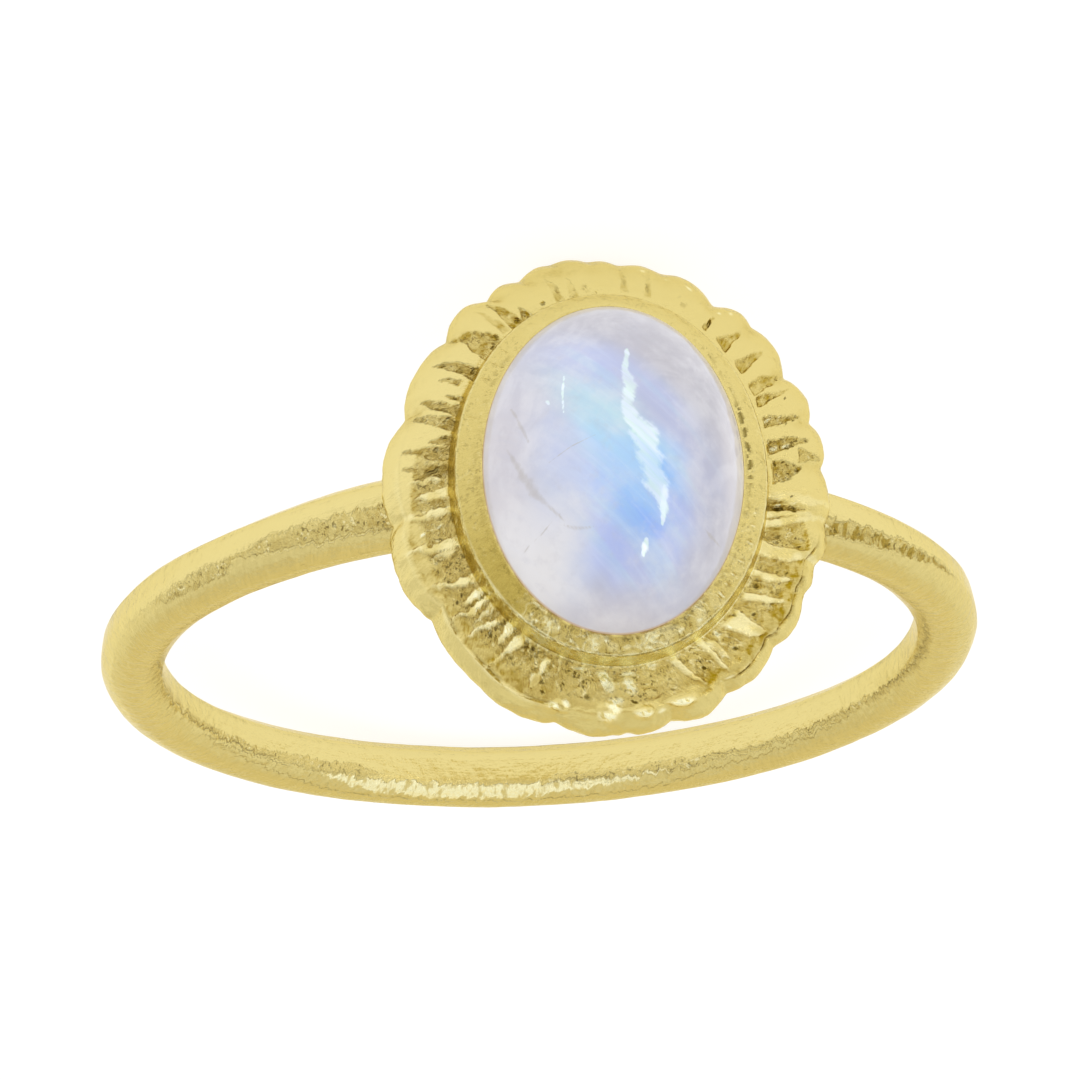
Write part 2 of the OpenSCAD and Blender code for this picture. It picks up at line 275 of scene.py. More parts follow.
def curl(values, level, width):
    """Thin curling lines where smooth random values pass a level."""
    return ease((width - np.abs(values - level)) / width)


def around(a, table):
    """A value charted by angle, read between its rows."""
    table = np.array(table)
    return np.interp(a % 360, table[:, 0], table[:, 1])


def lumps(points, size, seed):
    """Smooth random values between about -1 and 1 over points in millimetres."""
    shift = Vector((seed * 7.3, seed * 3.1, seed * 5.7))
    values = [noise.noise(Vector(p) / size + shift) for p in points.reshape(-1, 3)]
    return np.array(values).reshape(points.shape[:-1])


def on_oval(half_w, half_l, a, turn_deg):
    """Points of an oval at an angle round it, with the oval turned by some degrees."""
    c, s = np.cos(np.radians(a)), np.sin(np.radians(a))
    ct, st = np.cos(np.radians(turn_deg)), np.sin(np.radians(turn_deg))
    return half_w * c * ct - half_l * s * st, half_w * c * st + half_l * s * ct


# Section rows inside the frame: half width, half length, height
lip_w = stone_half_w * dome_share(lip_top - stone_back) + stone_gap
lip_l = stone_half_l * dome_share(lip_top - stone_back) + stone_gap
wall_w, wall_l, wall_z = lip_w + lip_wide_w, lip_l + lip_wide_l, lip_top - lip_drop
cup_rows, wall_steps = 5, (0.2, 0.4, 0.6, 0.8, 0.93)
inner = []
for z in (cup_floor, 10.6, 11.0, lip_top - 0.06):
    share = dome_share(z - stone_back)
    close = stone_gap if z < 11.1 else 0.006
    inner.append([stone_half_w * share + close, stone_half_l * share + close, z])
inner.append([lip_w - 0.02, lip_l - 0.02, lip_top - 0.015])
for t in np.linspace(0.08, 0.9, 12):
    crown = 0.03 * math.sin(math.pi * t)
    inner.append([lip_w + lip_wide_w * t, lip_l + lip_wide_l * t, lip_top - lip_drop * t + crown])
inner.append([wall_w - 0.015, wall_l - 0.012, wall_z + 0.012])
inner.append([wall_w + 0.01, wall_l + 0.01, wall_z - 0.03])
wall_head = np.array([wall_w, wall_l, wall_z])
wall_end = FRAME[0, :3] * [rim_half_w, rim_half_l, 1]
for t in wall_steps:
    inner.append(wall_head + (wall_end - wall_head) * t)
inner = np.array(inner)
outer = smooth_rows(FRAME, 50)
lip_rows = (inner[:, 2] > wall_z + 0.01) & (np.arange(len(inner)) >= cup_rows)
section = np.vstack([inner, outer[:, :3] * [rim_half_w, rim_half_l, 1]])
way = np.concatenate([np.zeros(len(inner)), np.clip(outer[:, 3], 0, 1)])[:, None]
on_frame = np.concatenate([np.zeros(len(inner)), np.ones(len(outer))])[:, None]
on_lip = np.concatenate([lip_rows, np.zeros(len(outer))])[:, None]
lip_t = np.clip((section[:, :1] - lip_w) / lip_wide_w, 0, 1)
slope = np.gradient(section, axis=0)
steep = np.hypot((slope[:, 0] + slope[:, 1]) / 2, slope[:, 2]) + 1e-9
face_out = (-slope[:, 2] / steep)[:, None]
face_up = ((slope[:, 0] + slope[:, 1]) / 2 / steep)[:, None]
# The marks fade out towards the cup and the underside
edge_fade = np.ones((len(section), 1))
edge_fade[:cup_rows] = 0
edge_fade[-2:] = 0
edge_fade[-5:-2] = 0.4

turns = (360 * np.arange(head_columns + 1) / head_columns)[None, :]
full_turn = np.arange(3600) / 10
sharp_size, crest_up = lobe_parts(full_turn)
soft_here = around(full_turn, [
    [0, .1], [28, 0], [36, 0], [42, 1], [66, 1], [72, .2], [80, 1], [100, .7], [108, .2], [165, .2],
    [230, .1], [242, .8], [290, .7], [296, .1], [360, .1]])
rim_size = soften(sharp_size, 0.5) * (1 - soft_here) + soften(sharp_size, 4) * soft_here
size = np.interp(turns % 360, full_turn, rim_size, period=360)
crest = np.interp(turns % 360, full_turn, soften(crest_up, 2.5), period=360)
# The head before it is marked: the scallops grow towards the rim, where the stone's turn fades out
grown = 1 + (size - 1) * ease(way) ** 2.5 * on_frame
fade_turn = stone_turn * (1 - way)
flat_x, flat_u = on_oval(section[:, :1] * grown, section[:, 1:2] * grown, turns, fade_turn)
flat = np.stack([flat_x, flat_u, section[:, 2:] + 0 * flat_x], axis=-1)
# Random values of five grain sizes: the size in millimetres, then the seed
tiny, fine, curls, small, broad = (
    lumps(flat, grain_size, seed)
    for grain_size, seed in ((0.09, 4), (0.16, 1), (0.24, 8), (0.34, 2), (0.9, 3)))
cut, in_flute = flute_cut(turns + 0.6 * small + 0.35 * fine, way + 0.05 * small)
torn_turns = turns + 0.5 * broad + 0.6 * small + 0.55 * fine + 0.4 * tiny
ribs = rib_share(torn_turns, way + 0.06 * small + 0.03 * fine)
# The bed cut into the lower half, out to the bead along the rim
bed_deep = around(turns, [
    [0, .07], [8, .09], [75, .09], [92, .09], [108, .075], [115, .07], [165, .07], [173, .05], [180, 0],
    [352, 0], [360, .09]])
bed_end = around(turns, [
    [0, .62], [9, .74], [16, .8], [29, .79], [31, .72], [34, .8], [71, .82], [75, .78], [90, .74],
    [100, .72], [112, .78], [118, .84], [160, .88], [172, .62], [352, .58], [360, .62]])
past_bed = ease((way - bed_end + 0.01 + 0.02 * small) / 0.045)
bed = bed_deep * (0.35 + 0.65 * ease(way / 0.1)) * (1 - past_bed)
bed = bed * (1 - 0.35 * ease((way - 0.5) / 0.3)) * (1 - ribs)
crease = np.exp(-((way - 0.885 - 0.01 * small) / 0.012) ** 2) * around(turns, [
    [0, 0], [118, 0], [128, 1], [162, 1], [170, 0], [360, 0]])
wild = around(turns, [
    [0, 1], [40, 1.2], [78, 1.3], [100, 1.3], [112, .6], [160, .7], [175, 1], [180, .1], [235, .06],
    [262, .1], [300, .2], [340, .4], [352, .8], [360, 1]])
lobed = around(turns, [
    [0, .6], [20, .3], [60, .1], [80, .6], [108, .8], [165, .9], [235, 1], [340, 1], [360, .6]])
level = -cut - bed - 0.04 * crease
# Painted shade: how much darker each point is, in the cut flutes and bed, more towards the rim, at some
# angles more than others
painted_shade = ease(-level / 0.022) * around(turns, [
    [0, 1.05], [20, .8], [70, .7], [80, .25], [105, .3], [120, 1], [165, 1.1], [182, 1.2], [240, 1.2],
    [290, 1.45], [345, 1.2], [360, 1.1]])
painted_shade = painted_shade * (1 + ease((way - 0.45) / 0.25) * around(turns, [
    [0, .2], [16, .4], [30, .6], [72, .6], [80, .1], [106, .1], [114, .6], [165, .6], [176, .2],
    [180, 0], [345, 0], [360, .2]]))
relief = level + lobed * 0.1 * (crest - 0.75) * ease(way * 1.6 - 0.6)
mound = spots(MOUNDS, turns + broad, way)
painted_shade = painted_shade * (1 - ease(mound / 0.05))
# A raised ridge near the rim with a dip beside it; the ridge later gets painted highlights and the dip
# painted shade
ridge = np.exp(-((way - 0.86 - 0.01 * small) / 0.02) ** 2) * around(turns, [
    [0, .3], [28, .3], [36, 1], [70, 1], [76, 0], [120, 0], [128, .5], [160, .3], [170, 0], [350, 0],
    [360, .3]])
ridge = ridge * (0.7 + 0.6 * broad + 0.5 * small)
beside_ridge = np.exp(-((way - 0.83 - 0.01 * small) / 0.01) ** 2) * around(turns, [
    [0, .2], [30, .3], [37, .9], [72, .9], [76, 0], [345, 0], [360, .2]])
# The notches between the lobes dip a little and get painted shade, as does a patch near 284 degrees
valley = ease((0.8 - crest) / 0.6) * ease((way - 0.45) / 0.35) * around(turns, [
    [0, .3], [30, .5], [60, .1], [100, .3], [165, .7], [235, .7], [262, .3], [285, .7], [345, .6],
    [360, .3]])
shaded = 0.35 * hump(turns, 284, 17) * hump(way, 0.7, 0.3)
relief = relief + mound + 0.04 * ridge - 0.02 * beside_ridge - 0.03 * valley
rough = np.maximum(in_flute, wild * (1 - ease((way - 0.5) / 0.2)) * ease(-level / 0.05))
relief = relief + rough * (0.02 * small + 0.02 * fine + 0.012 * tiny)
rim_rough = ease((way - 0.84) / 0.06) * around(turns, [
    [0, 1], [30, .7], [36, .3], [72, .3], [84, .9], [112, .8], [128, .4], [158, .9], [200, .5],
    [230, .2], [330, .2], [350, .6], [360, 1]])
relief = relief + rim_rough * (0.03 * small + 0.018 * fine)
relief = relief + 0.024 * broad + 0.01 * small * (0.4 + wild)
relief = relief * on_frame
painted_shade = (np.maximum(painted_shade, 0) + 0.85 * valley + shaded) * on_frame
lip_wild = around(turns, [
    [0, .3], [45, .35], [58, 1], [128, 1], [140, .5], [225, .2], [300, .2], [360, .3]])
lip_relief = lip_wild * (0.03 * small + 0.04 * fine + 0.02 * tiny) + 0.006 * broad
lip_highlight = spots(LIP_HIGHLIGHT_SPOTS, turns + 0.5 * broad, lip_t) * on_lip
lip_relief = lip_relief + 0.03 * lip_highlight - 0.03 * spots(LIP_HIGHLIGHT_SPOTS, turns - 1, lip_t)
for mark in (320, 326, 332, 346, 112, 124):
    lip_relief = lip_relief - 0.03 * hump(turns + 2 * lip_t, mark, 0.6) * hump(lip_t, 0.6, 0.5)
relief = (relief + lip_relief * on_lip) * edge_fade

# The head as it is cut, with the relief along the way that its surface faces
half_w = section[:, :1] * grown + face_out * relief
half_l = section[:, 1:2] * grown + face_out * relief
head_x, head_u = on_oval(half_w, half_l, turns, fade_turn)
head_x = head_x + rim_shift[0] * way
head_u = head_u + rim_shift[1] * way
head_r = section[:, 2:] + face_up * relief
head_points = np.stack([head_x, head_u, head_r + 0 * head_x], axis=-1)
# How gouged each point is, and its painted shade and painted highlights, for the metal's look
gouged = np.clip(rough * on_frame * 0.8 + on_lip * lip_wild * 0.6, 0, 1)
# Painted shade: specks along the lip, the pits of the casting and the crease near the rim
lip_pit_shade = np.exp(-((lip_t - 0.22) / 0.12) ** 2) * around(turns, [
    [0, .2], [50, .2], [58, .5], [128, .6], [140, .3], [176, .3], [182, 1], [203, 1], [208, .3],
    [232, .3], [236, 0], [318, 0], [322, .3], [338, .3], [342, 0], [360, .2]])
speckled = ease((0.5 * fine + 0.9 * tiny + 0.02) / 0.09)
pit_shade = spots(PITS, turns + 0.8 * small, way + 0.04 * small) * on_frame + 0.8 * lip_pit_shade * on_lip
pit_shade = np.clip(pit_shade * speckled + 0.6 * crease * on_frame * ease((small + 0.2) / 0.3), 0, 1)
# Painted highlights at the spots of the table, broken up by noise
broken = ease((0.5 * fine + 0.7 * tiny + 0.3) / 0.14)
painted_highlight = spots(PAINTED_HIGHLIGHTS, turns + 0.3 * small, way + 0.02 * small) * on_frame * broken
foot_from = len(inner) - len(wall_steps)
on_wall = np.zeros((len(section), 1))
on_wall[foot_from - 2:foot_from] = 1
wall_foot = np.zeros((len(section), 1))
wall_foot[foot_from:len(inner) + 1] = 1
# Painted shade on the foot of the bezel's wall at some angles, painted highlights on it at others and on
# the wall
painted_shade = painted_shade + 0.9 * wall_foot * around(turns, [
    [0, 1], [50, 1], [60, 0], [165, .1], [185, .2], [340, .2], [360, 1]])
painted_highlight = painted_highlight + (0.85 + 0.4 * small) * wall_foot * around(turns, [
    [0, 0], [54, 0], [64, 1], [140, .9], [170, .4], [185, 0], [360, 0]])
painted_highlight = painted_highlight + on_wall * (0.7 + 0.4 * small) * around(turns, [
    [0, .2], [30, .3], [40, .8], [132, .8], [150, .7], [180, .5], [345, .4], [360, .2]])
wrinkled = on_lip * around(turns, [
    [0, 0], [50, 0], [57, 1], [130, 1], [137, .25], [170, .15], [180, 0], [360, 0]])
torn = np.clip(painted_shade, 0, 1) * (1 - ease((way - 0.42) / 0.25)) * around(turns, [
    [0, .3], [12, .7], [30, .4], [36, 1], [66, 1], [76, .7], [84, 1], [103, 1], [112, .4], [128, 1],
    [136, .4], [170, .3], [176, .6], [205, .5], [208, 0], [310, 0], [340, .3], [360, .3]])
# Painted highlights and painted shade in curling lines on the lip's wrinkles and the torn flutes, and
# painted highlights on the ribs and on the frame near 0 degrees
highlight_curls = curl(curls, 0.05, 0.09 + 0.05 * wrinkled) * ease((broad + 0.45) / 0.3)
painted_highlight = painted_highlight + (0.6 * wrinkled + 0.9 * torn) * highlight_curls
painted_highlight = painted_highlight + 0.3 * wrinkled * ease((small + 0.1) / 0.3)
painted_highlight = painted_highlight + 0.7 * ribs * ease((small + 0.4) / 0.5) * on_frame * around(turns, [
    [0, .5], [34, .6], [38, 1], [70, 1], [76, .6], [100, .6], [112, .8], [165, .6], [178, .3], [180, 0],
    [360, 0]])
painted_highlight = painted_highlight + on_frame * around(turns, [[0, .12], [30, .05], [60, 0], [300, 0], [330, .1], [360, .12]])
shade_curls = curl(fine, 0.3, 0.09) * ease((0.4 - broad) / 0.3)
pit_shade = np.clip(pit_shade + (0.35 * wrinkled + 0.5 * torn) * shade_curls, 0, 1)
# Painted shade beside the ridge, and painted highlights on the ridge and at the lip's spots
pit_shade = np.clip(pit_shade + 0.5 * beside_ridge * on_frame * ease((small + 0.3) / 0.3), 0, 1)
painted_highlight = np.clip(painted_highlight + 0.6 * ridge * on_frame + lip_highlight * ease((tiny + 0.3) / 0.3), 0, 1) * edge_fade
# Painted shade on the lip, strongest at some angles round it
lip_shade = on_lip * around(turns, [
    [0, .4], [14, .55], [32, 1], [52, 1.1], [60, .5], [128, .4], [165, .2], [200, .1], [300, .1],
    [345, .3], [360, .4]])

# The band: a wire bent to a circle, flats where it was filed and gouges where the head was soldered on.
# A flat is the way it faces round the wire (0 outward, 90 up the finger, 180 inward) and its distance,
# and the edges between flats are crisper with a higher number.
band_r, wire_r = 9.33, 0.72
band_columns, wire_columns = 720, 36
FLATS = ((-8, .72), (28, .722), (62, .708), (95, .7), (128, .715), (181, .68), (238, .705), (300, .712))
crisp = 22


def wire_size(facing):
    """Distance of the wire's surface from its middle, towards each way it faces."""
    total = np.zeros(facing.shape)
    for way_it_faces, distance in FLATS:
        total = total + (np.clip(np.cos(np.radians(facing - way_it_faces)), 0, 1) / distance) ** crisp
    return total ** (-1 / crisp)


# Marks on the band: angle round the ring, then the way they face round the wire, from and to
EDGE = (
    (0, -4), (45, -3), (50, 10), (55, 13), (65, 22), (75, 25), (85, 33), (95, 50), (105, 64), (115, 60),
    (130, 62), (150, 50), (210, 50), (240, 62), (249, 70), (255, 60), (267, 52), (280, 35), (290, 15),
    (300, 10), (330, 5), (360, -4),
)
GOUGES = (
    (0, -4, 34), (27, -4, 34), (40, -3, 32), (46, 0, 24), (50, 12, 16), (52, 14, 34), (56, 14, 40),
    (62, 18, 38), (66, 22, 30), (69, 24, 24), (75, 24, 27), (80, 26, 26), (296, 10, 10), (300, 10, 13),
    (305, 7, 16), (311, 8, 24), (318, 10, 34), (330, 8, 36), (360, -4, 34),
)
CREASES = (
    (0, 116, 116), (78, 116, 116), (82, 118, 121), (88, 132, 137), (94, 150, 157), (100, 151, 156),
    (110, 155, 160), (120, 155, 160), (135, 151, 156), (142, 152, 155), (146, 154, 154),
    (189, 150, 150), (192, 150, 154), (199, 150, 154), (202, 152, 152), (213, 158, 158),
    (216, 158, 162), (230, 156, 159), (240, 154, 158), (250, 156, 159), (260, 152, 158),
    (270, 143, 148), (280, 133, 138), (290, 123, 128), (299, 113, 113), (360, 113, 113),
)
PITTED = (
    (0, 122, 122), (80, 122, 122), (86, 128, 150), (95, 152, 176), (105, 156, 172), (115, 158, 170),
    (125, 158, 168), (140, 154, 166), (145, 150, 172), (158, 150, 172), (163, 158, 158),
    (187, 148, 148), (191, 142, 164), (205, 140, 164), (213, 142, 166), (216, 152, 162),
    (232, 150, 158), (245, 148, 164), (262, 142, 158), (275, 128, 146), (288, 118, 132),
    (298, 112, 112), (360, 112, 112),
)
HAMMERED = (
    (0, 145, 145), (120, 145, 145), (140, 132, 150), (156, 108, 150), (185, 108, 150), (205, 112, 150),
    (215, 130, 150), (240, 142, 150), (250, 147, 147), (360, 147, 147),
)
# Where the hammer marks get painted highlights
GLARE = (
    (0, 145, 145), (150, 145, 145), (162, 118, 150), (186, 118, 150), (198, 134, 150), (212, 147, 147),
    (360, 147, 147),
)
SCORED = (
    (0, -7, -4), (40, -6, -3), (46, -3, 0), (49, 8, 8), (51, 11, 14), (56, 11, 14), (62, 15, 18),
    (66, 19, 22), (80, 23, 25), (85, 28, 28), (296, 9, 9), (300, 7, 10), (311, 4, 8), (330, 5, 9),
    (360, -7, -4),
)
CRESTS = (
    (0, 35, 39), (28, 35, 39), (40, 33, 37), (47, 26, 28), (50, 24, 24), (53, 36, 36), (56, 41, 43),
    (62, 38, 40), (66, 31, 31), (315, 34, 34), (318, 35, 38), (330, 37, 40), (360, 35, 39),
)
theta = (360 * np.arange(band_columns + 1) / band_columns)[None, :]
facing = (270 - 360 * np.arange(wire_columns + 1) / wire_columns)[:, None]


def band_point(distance, theta, facing):
    """Points of the band at angles round the ring and round the wire."""
    rho = band_r + distance * np.cos(np.radians(facing))
    return np.stack([
        rho * np.sin(np.radians(theta)),
        distance * np.sin(np.radians(facing)) + 0 * theta,
        rho * np.cos(np.radians(theta)),
    ], axis=-1)


wire = wire_size(facing) + 0 * theta
plain_band = band_point(wire, theta, facing)
band_fine, band_small, band_broad = (
    lumps(plain_band, grain_size, seed) for grain_size, seed in ((0.2, 5), (0.5, 6), (1.8, 7)))
facing_here = turn_off(facing + 4 * band_small, 90) + 90
gouge_at, gouge_first, gouge_last = np.transpose(GOUGES)
gouge_from = np.interp(theta, gouge_at, gouge_first)
gouge_to = np.interp(theta, gouge_at, gouge_last)
band_rough = ease((facing_here - gouge_from) / 6) * ease((gouge_to - facing_here) / 6)
shoulder = 0.17 * ease((52 - theta) / 25) + 0.09 * ease((theta - 312) / 25)
keep_hole = ease((np.abs(turn_off(facing, 180)) - 8) / 20)
wire = wire - 0.05 * band_rough + band_rough * (0.012 * band_small + 0.008 * band_fine)
wire = wire + shoulder * ease(np.cos(np.radians(facing + 70)))
wire = wire + keep_hole * (0.012 * band_broad + 0.006 * band_small)
band_points = band_point(wire, theta, facing)

metal = bmesh.new()
wrap = metal.loops.layers.uv.new("wrap")
mark_layers = {
    name: metal.verts.layers.float.new(name) for name in ("gouged", "lip", "painted_shade", "pit_shade", "painted_highlight", "band")}


def roll_grid(bm, points, length, width):
    """A grid laid on rows of points, with its UV map in millimetres. Its ends are not merged here."""
    rows, columns = points.shape[:2]
    made = bmesh.ops.create_grid(bm, x_segments=columns - 1, y_segments=rows - 1, size=0.5, calc_uvs=True)
    verts = made["verts"]
    for v in verts:
        for corner in v.link_loops:
            corner[wrap].uv = ((v.co.x + 0.5) * length, (v.co.y + 0.5) * width)
    for v, p in zip(verts, points.reshape(-1, 3)):
        v.co = p
    return verts


band_verts = roll_grid(metal, band_points, 2 * math.pi * band_r, 2 * math.pi * wire_r)
for v, value in zip(band_verts, band_rough.ravel().tolist()):
    v[mark_layers["gouged"]] = value
    v[mark_layers["band"]] = 1
bmesh.ops.remove_doubles(metal, verts=band_verts, dist=same_point)
bmesh.ops.bisect_plane(metal, geom=metal.verts[:] + metal.edges[:] + metal.faces[:], dist=0.00001,
                       plane_co=(0, 0, underside), plane_no=(0, 0, 1), clear_outer=True)
head_verts = roll_grid(metal, head_points, head_girth, section_run)
head_marks = {"gouged": gouged, "lip": lip_shade, "painted_shade": painted_shade, "pit_shade": pit_shade, "painted_highlight": painted_highlight}
for name, values in head_marks.items():
    for v, value in zip(head_verts, values.ravel().tolist()):
        v[mark_layers[name]] = value
bmesh.ops.remove_doubles(metal, verts=head_verts, dist=same_point)
open_edges = [e for e in metal.edges if e.is_boundary]
below = [e for e in open_edges if e.verts[0].co.z < underside + 0.1]
cup_edges = [e for e in open_edges if e.verts[0].co.z > underside + 0.1]
bmesh.ops.triangle_fill(metal, edges=below, use_beauty=True, use_dissolve=False, normal=(0, 0, -1))
bmesh.ops.edgeloop_fill(metal, edges=cup_edges)
bmesh.ops.recalc_face_normals(metal, faces=metal.faces[:])


def smooth_faces(bm):
    """Shades all faces smooth, and leaves a crease where two meet at a sharp angle."""
    for f in bm.faces:
        f.smooth = True
    for e in bm.edges:
        e.smooth = e.calc_face_angle(0) < sharp_from


def to_object(name, bm):
    """Makes an object of a bmesh and puts it in the scene."""
    mesh = bpy.data.meshes.new(name)
    bm.to_mesh(mesh)
    bm.free()
    thing = bpy.data.objects.new(name, mesh)
    bpy.context.scene.collection.objects.link(thing)
    return thing


smooth_faces(metal)
metal.transform(ring_place)
for v in metal.verts:
    v.co.z = max(v.co.z, 0)
mount = to_object("cast_mount", metal)


def new_material(name):
    """A new material, its node tree and its shader."""
    material = bpy.data.materials.new(name)
    material.use_nodes = True
    return material, material.node_tree, material.node_tree.nodes["Principled BSDF"]


def set_inputs(node, inputs):
    """Sets inputs of a node, by name or number, to plain values or to the outputs of other nodes."""
    for name, value in dict(inputs).items():
        if isinstance(value, bpy.types.NodeSocket):
            node.id_data.links.new(value, node.inputs[name])
        else:
            node.inputs[name].default_value = value


def put(tree, kind, inputs=(), **properties):
    """Adds a node with its properties and inputs."""
    node = tree.nodes.new(kind)
    for name, value in properties.items():
        setattr(node, name, value)
    set_inputs(node, inputs)
    return node


def put_math(operation, *values, clamp=False):
    """Adds a math node to the tree that its first value comes from, as the helpers below do too."""
    inputs = enumerate(values)
    node = put(values[0].id_data, "ShaderNodeMath", inputs, operation=operation, use_clamp=clamp)
    return node.outputs[0]


def times(a, b):
    """a times b."""
    return put_math("MULTIPLY", a, b)


def add_shares(total, *parts):
    """Adds parts to a value one after another, each part times its share."""
    for part, share in parts:
        total = put_math("MULTIPLY_ADD", part, share, total)
    return total


def put_mark(tree, name, output="Fac"):
    """A value or colour that the mesh carries at its points."""
    return put(tree, "ShaderNodeAttribute", attribute_name=name).outputs[output]


def put_mapping(vector, scale, turn_deg=0, kind="TEXTURE"):
    inputs = {"Vector": vector, "Rotation": (0, 0, math.radians(turn_deg)), "Scale": scale}
    return put(vector.id_data, "ShaderNodeMapping", inputs, vector_type=kind).outputs[0]


def put_noise(vector, scale, detail=2.0, rough=0.5, warp=0.0):
    inputs = {"Vector": vector, "Scale": scale, "Detail": detail, "Roughness": rough, "Distortion": warp}
    return put(vector.id_data, "ShaderNodeTexNoise", inputs).outputs["Fac"]


def put_curve(value, points):
    """A curve drawn through points, each from 0 to 1 both ways."""
    node = put(value.id_data, "ShaderNodeFloatCurve", {"Value": value})
    curve = node.mapping.curves[0]
    while len(curve.points) < len(points):
        curve.points.new(0.5, 0.5)
    for spot, place in zip(curve.points, points):
        spot.location = place
        spot.handle_type = "VECTOR"
    node.mapping.update()
    return node.outputs[0]


def put_range(value, low, high, new_low=0.0, new_high=1.0):
    """Goes smoothly from one value to another while the input goes from low to high."""
    inputs = {"Value": value, "From Min": low, "From Max": high, "To Min": new_low, "To Max": new_high}
    node = put(value.id_data, "ShaderNodeMapRange", inputs, interpolation_type="SMOOTHSTEP")
    return node.outputs["Result"]


def put_mix(factor, a, b):
    """Colour a where the factor is 0, colour b where it is 1."""
    inputs = {"Factor": factor, "A": a, "B": b}
    return put(factor.id_data, "ShaderNodeMix", inputs, data_type="RGBA").outputs["Result"]


def put_bump(height, distance, strength):
    inputs = {"Height": height, "Distance": distance, "Strength": strength}
    return put(height.id_data, "ShaderNodeBump", inputs).outputs["Normal"]


gold, tree, shader = new_material("cast_gold_plate")
metres = put(tree, "ShaderNodeTexCoord").outputs["Object"]
mm = put(tree, "ShaderNodeVectorMath", {0: metres, "Scale": 1000}, operation="SCALE").outputs[0]
head_gouge, lip_matt_and_shade, band_part, painted_shade_part, pit_shade_part, painted_highlight_part = (
    put_mark(tree, name) for name in ("gouged", "lip", "band", "painted_shade", "pit_shade", "painted_highlight"))
uv = put(tree, "ShaderNodeUVMap", uv_map="wrap").outputs["UV"]
brushed = put_noise(put_mapping(uv, (1.2, 14, 1), kind="POINT"), 1.0, 3, 0.6)
crossed = put_noise(put_mapping(uv, (5, 2.4, 1), kind="POINT"), 1.0, 2, 0.6)
filed = put_mapping(uv, (0.08, 0.6, 1), 28)
slanting = put_noise(filed, 1.0, 3, 0.6)
ragged = put_noise(filed, 0.35, 3, 0.7)
cut_lines = put_noise(put_mapping(uv, (0.07, 0.3, 1), -14), 1.0, 4, 0.65)
# Where a point of the band is, from 0 to 1 round the ring and round the wire
on_wire = put(tree, "ShaderNodeSeparateXYZ", {0: uv}).outputs
round_ring = put_math("DIVIDE", on_wire[0], 2 * math.pi * band_r)
round_wire = put_math("MULTIPLY_ADD", on_wire[1], -1 / (2 * math.pi * wire_r), 1)
round_wire = put_math("ADD", round_wire, put_range(ragged, 0.25, 0.75, -0.02, 0.02))


def band_line(rows):
    """A line along the band: the way it faces round the wire at each angle round the ring."""
    return put_curve(round_ring, [(angle / 360, (faces + 90) / 360) for angle, faces in rows])


def marked(table):
    """1 between the two lines of a table of marks on the band, 0 beside them."""
    first = band_line([(angle, faces_from) for angle, faces_from, faces_to in table])
    last = band_line([(angle, faces_to) for angle, faces_from, faces_to in table])
    after = put_range(put_math("SUBTRACT", round_wire, first), 0, 0.008)
    before = put_range(put_math("SUBTRACT", last, round_wire), 0, 0.008)
    return times(times(after, before), band_part)


# The band's side facet, which gets bumps and painted shade
over_edge = put_range(put_math("SUBTRACT", round_wire, band_line(EDGE)), 0, 0.012)
before_hole = put_range(round_wire, 0.64, 0.68, 1, 0)
side_facet = times(times(over_edge, before_hole), band_part)
gouged_band, creased, pitted, hammered, glaring, scored, crested = (
    marked(table) for table in (GOUGES, CREASES, PITTED, HAMMERED, GLARE, SCORED, CRESTS))
lump = put_noise(mm, 1.6, 3, 0.5)
grain = put_noise(mm, 12, 4, 0.65)
dents = put_noise(mm, 4, 2, 0.5)
band_marks = add_shares(times(gouged_band, 0.15), (pitted, 0.7))
gouge_mask = put_math("ADD", times(head_gouge, 0.8), band_marks, clamp=True)
# Specks in the gouges: dark ones dip and get painted shade, bright ones get painted highlights
pits = put_range(put_noise(mm, 12, 3, 0.6), 0.58, 0.63)
patches = put_range(put_noise(mm, 2.6, 2, 0.5), 0.42, 0.6)
pit_mask = times(pits, times(gouge_mask, patches))
highlight_specks = put_range(put_noise(mm, 9, 3, 0.65), 0.56, 0.62)
bright_patches = put_range(put_noise(mm, 1.9, 2, 0.5), 0.5, 0.6)
highlight_speck_mask = times(highlight_specks, times(gouge_mask, bright_patches))

height = add_shares(
    times(lump, 1.2), (dents, 0.75), (grain, put_math("MULTIPLY_ADD", gouge_mask, 0.9, 0.22)),
    (times(brushed, band_part), 0.2), (times(slanting, side_facet), 0.35), (times(crossed, hammered), 1.7),
    (side_facet, -0.25), (times(crossed, gouged_band), 0.9), (put_math("ADD", creased, scored), -0.8),
    (crested, 0.6))
cut_bump = times(cut_lines, put_math("MULTIPLY_ADD", head_gouge, 0.8, 0.3))
height = put_math("ADD", cut_bump, height)
height = add_shares(height, (put_math("MAXIMUM", pit_mask, pit_shade_part), -1.2))
roughness = add_shares(put_range(grain, 0.3, 0.7, 0.09, 0.2), (lip_matt_and_shade, 0.14), (painted_highlight_part, 0.15))

